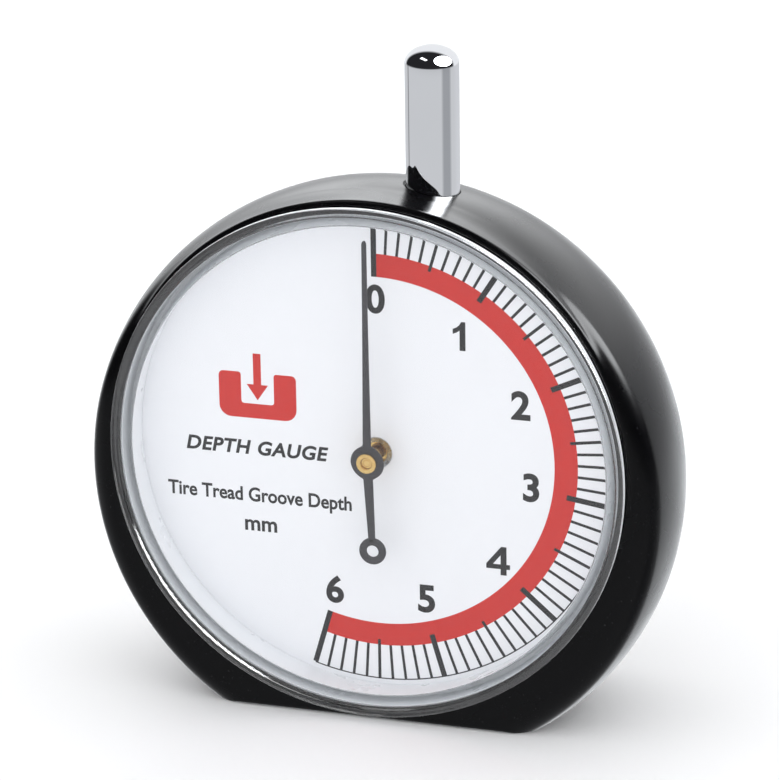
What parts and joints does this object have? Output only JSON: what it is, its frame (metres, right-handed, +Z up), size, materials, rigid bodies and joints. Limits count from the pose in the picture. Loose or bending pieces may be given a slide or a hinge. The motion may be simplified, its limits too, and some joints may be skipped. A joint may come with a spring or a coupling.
{
  "type": "dial tread depth gauge",
  "caption": "Pocket dial gauge for tyre tread depth: round black case with a flat base, clear cover, white dial and pointer, and a sprung plunger with a thumb cap.",
  "frame": {"origin": "on the flat base face, directly below the dial's centre and in the plane of the dial's printed face", "axes": "+Z up, away from the base along the plunger; the dial faces -Y; +X is to the right of somebody reading the dial"},
  "size_m": [0.0584, 0.0202, 0.0661],
  "materials": {
    "case_enamel": "gloss black enamel on a die-cast shell",
    "clear_crystal": "clear moulded acrylic",
    "black_gasket": "matt black",
    "dial_face": "white printed dial, satin",
    "pointer_black": "dark grey satin lacquer",
    "polished_brass": "turned brass",
    "cap_chrome": "bright plated",
    "ground_steel": "fine turned steel",
    "spring_steel": "drawn spring wire"
  },
  "bodies": {
    "case": {"case_body": "case_enamel", "back_cover": "case_enamel", "back_cover_screws": "ground_steel", "crystal": "clear_crystal", "crystal_gasket": "black_gasket", "dial_plate": "dial_face", "dial_eyelet": "ground_steel", "dial_feet": "polished_brass", "front_plate": "polished_brass", "rear_plate": "polished_brass", "plate_pillars": "polished_brass", "front_pillar_screws": "ground_steel", "rear_pillar_screws": "ground_steel", "movement_screws": "ground_steel", "front_bush": "polished_brass", "rear_bush": "polished_brass", "hairspring": "spring_steel", "hairspring_stud": "polished_brass", "return_spring": "spring_steel", "lower_bush": "polished_brass"},
    "plunger": {"thumb_cap": "cap_chrome", "spindle": "ground_steel", "rack": "polished_brass", "rack_screws": "ground_steel", "guide_pin": "ground_steel", "spring_collar": "polished_brass", "measuring_pin": "ground_steel"},
    "pointer_group": {"pointer": "pointer_black", "pointer_hub": "polished_brass", "arbor": "polished_brass", "pinion": "polished_brass", "hairspring_collet": "polished_brass"}
  },
  "joints": [
    {"name": "plunger_slide", "type": "slide", "parent": "case", "child": "plunger", "axis": [0, 0, -1], "range_m": [0, 0.006], "stiffness_N_per_m": 300, "springref_m": -0.005, "deforming": ["return_spring"]},
    {"name": "pointer_turn", "type": "hinge", "parent": "case", "child": "pointer_group", "pos_m": [0, 0, 0.0265], "axis": [0, 1, 0], "range_deg": [0, 197], "deforming": ["hairspring"]}
  ],
  "couplings": [
    {"joint": "pointer_turn", "follows": "plunger_slide", "rad_per_m": 571.43}
  ]
}
